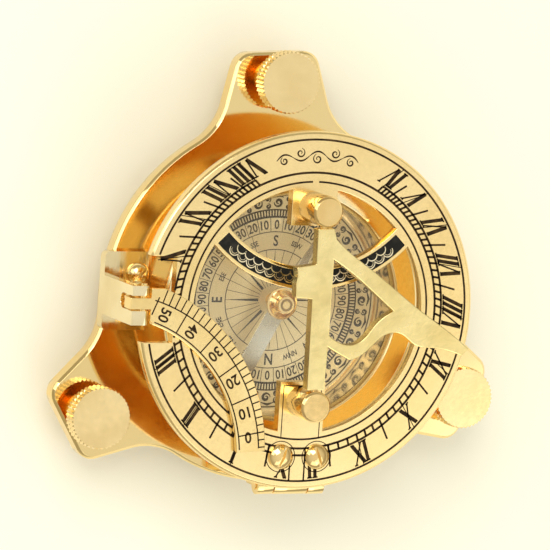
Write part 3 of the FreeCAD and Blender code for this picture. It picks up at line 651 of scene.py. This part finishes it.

# the countersunk ring on top of the needle's hub, drawn as a flat dark brass strip: painted shade in the countersink
HT = max(v.co.z for v in NODES["needle_cap"].data.vertices) / MM
hub = Marks(HT - 0.05, HT + 0.03)
hub.circle((0.0, 0.0), 1.15, 0.55, 48)
hub.build("hub_ring_painted_shade", M_HUB_SHADE, "needle")

# ---------------------------------------------------------------- floor, light
def floor_mat():
    m, nt, b = new_mat("floor_paper")
    n = node(nt, "ShaderNodeTexNoise")
    n.inputs["Scale"].default_value = 6.0
    n.inputs["Detail"].default_value = 5.0
    nt.links.new(coords(nt), n.inputs["Vector"])
    nt.links.new(ramp(nt, n.outputs["Fac"], [(0.3, (0.93, 0.905, 0.775)), (0.7, (0.955, 0.935, 0.81))]), b.inputs["Base Color"])
    b.inputs["Roughness"].default_value = 0.9
    b.inputs["Specular IOR Level"].default_value = 0.1
    return m


bpy.ops.mesh.primitive_plane_add(size=6.0, location=(0, 0, -0.0001))
floor = bpy.context.object
floor.name = "floor"
floor.data.materials.append(floor_mat())

world = bpy.data.worlds.new("studio")
scene.world = world
world.use_nodes = True
wt = world.node_tree
bg = wt.nodes["Background"]
tc = wt.nodes.new("ShaderNodeTexCoord")
sep = wt.nodes.new("ShaderNodeSeparateXYZ")
wt.links.new(tc.outputs["Generated"], sep.inputs["Vector"])
rmp = wt.nodes.new("ShaderNodeValToRGB")
rmp.color_ramp.elements[0].position = 0.0
rmp.color_ramp.elements[0].color = (0.80, 0.77, 0.66, 1)
rmp.color_ramp.elements[1].position = 1.0
rmp.color_ramp.elements[1].color = (1.16, 1.13, 1.03, 1)
e = rmp.color_ramp.elements.new(0.30)
e.color = (0.52, 0.47, 0.34, 1)
e = rmp.color_ramp.elements.new(0.62)
e.color = (0.92, 0.90, 0.80, 1)
wt.links.new(sep.outputs["Z"], rmp.inputs["Fac"])
wt.links.new(rmp.outputs["Color"], bg.inputs["Color"])
bg.inputs["Strength"].default_value = 0.80


def area(name, loc, target, sx, sy, power, color=(1, 0.97, 0.9)):
    ld = bpy.data.lights.new(name, "AREA")
    ld.shape = "RECTANGLE"
    ld.size, ld.size_y = sx, sy
    ld.energy = power
    ld.color = color
    ob = bpy.data.objects.new(name, ld)
    scene.collection.objects.link(ob)
    ob.location = loc
    ob.rotation_euler = (Vector(target) - Vector(loc)).to_track_quat("-Z", "Y").to_euler()
    return ob


# big soft panel in the mirror direction of the dial
area("panel", (0.60, -0.80, 1.10), (0.1, -0.1, 0.0), 1.3, 1.0, 3.4)
area("key", (-0.60, 0.90, 1.30), (0, 0, 0), 1.0, 1.0, 11.5, (1, 0.98, 0.93))
area("left_soft", (-0.95, 0.5, 0.6), (0, 0, 0), 0.7, 0.7, 2.2)
area("fill_noon", (-0.05, -1.2, 0.9), (0, 0, 0), 1.1, 0.8, 2.6)

# --------------------------------------------------------------------- camera
cam_d = bpy.data.cameras.new("camera")
cam = bpy.data.objects.new("camera", cam_d)
scene.collection.objects.link(cam)
cam_d.sensor_width = 36.0
cam_d.lens = 36.0 * 5948.77 / 550.0
R = ((0.9172734442350954, 0.06426451749152055, 0.39303880252803014),
     (0.009204689343442405, -0.9900523040510278, 0.1403983936423138),
     (0.39815160704834096, -0.12516591802417074, -0.9087402218290936))
cx, cy, cz = Vector(R[0]), -Vector(R[1]), -Vector(R[2])
loc = Vector((-0.5308346, 0.1726371, 1.2123000 + 0.0115))
mat = Matrix((
    (cx.x, cy.x, cz.x, loc.x),
    (cx.y, cy.y, cz.y, loc.y),
    (cx.z, cy.z, cz.z, loc.z),
    (0, 0, 0, 1)))
cam.matrix_world = mat
cam_d.clip_start = 0.05
cam_d.clip_end = 10.0
scene.camera = cam

bpy.context.view_layer.update()
